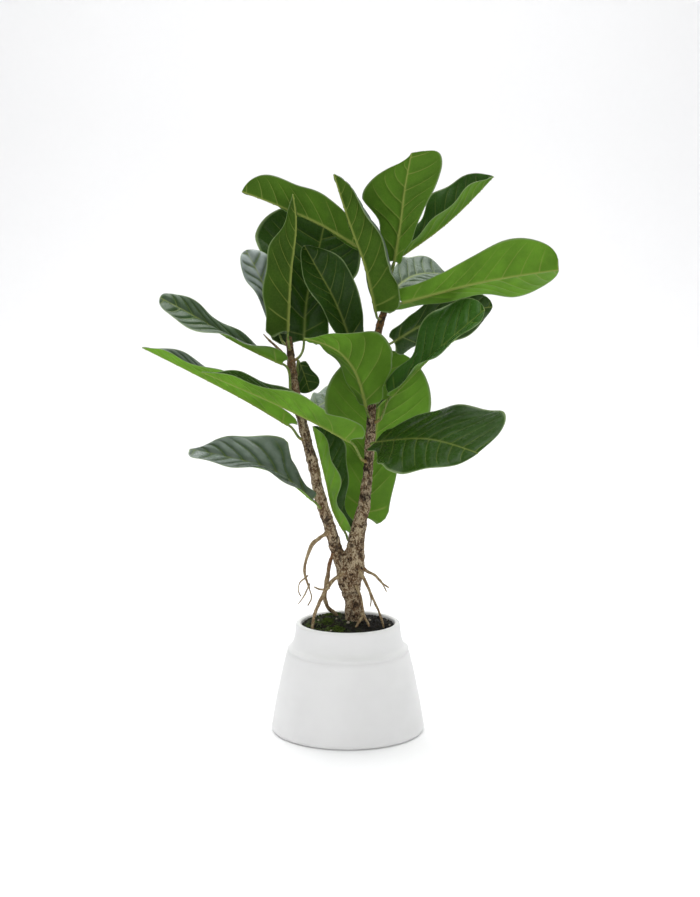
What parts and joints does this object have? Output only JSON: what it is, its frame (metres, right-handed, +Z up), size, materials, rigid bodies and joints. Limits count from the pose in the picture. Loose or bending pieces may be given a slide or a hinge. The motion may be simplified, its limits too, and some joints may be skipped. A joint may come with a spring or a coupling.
{
  "type": "potted live plant",
  "caption": "Potted fiddle leaf fig: large leathery violin-shaped leaves on two stems from one trunk with aerial roots, in a matte tapered ceramic pot.",
  "frame": {"origin": "centre of the pot's flat base, on the surface that it stands on", "axes": "+Z up along the pot's axis; the plant spreads along X and its front faces -Y"},
  "size_m": [0.4571, 0.2626, 0.6586],
  "materials": {
    "ceramic": "matte, off-white",
    "soil": "dark, damp and crumbly",
    "moss": "dull green pile",
    "bark": "rough, mottled grey-brown",
    "root": "fibrous, buff",
    "leaf": "satin above, matte below, pale veins"
  },
  "bodies": {
    "root": {"pot": "ceramic", "soil": "soil", "moss_left": "moss", "moss_front": "moss", "moss_back": "moss", "trunk": "bark", "stem_left": "bark", "stem_right": "bark", "root_left_arch": "root", "root_left_back": "root", "root_left_front": "root", "root_right_free": "root", "root_right_long": "root", "root_front_fork": "root", "twig_left": "root", "leaf_top_left": "leaf", "leaf_left_upright": "leaf", "leaf_centre_upright": "leaf", "leaf_top_right": "leaf", "leaf_top_right_back": "leaf", "leaf_right_long": "leaf", "leaf_right_back": "leaf", "leaf_right_shaded": "leaf", "leaf_right_folded": "leaf", "leaf_front": "leaf", "leaf_back_broad": "leaf", "leaf_right_low": "leaf", "leaf_left_low": "leaf", "leaf_left_back_long": "leaf", "leaf_left_front_long": "leaf", "leaf_left_high": "leaf", "leaf_left_small": "leaf", "leaf_left_back_high": "leaf", "leaf_centre_dark": "leaf", "leaf_back_tall": "leaf", "leaf_back_low": "leaf", "leaf_trunk_folded": "leaf", "leaf_bud": "leaf"}
  },
  "joints": []
}
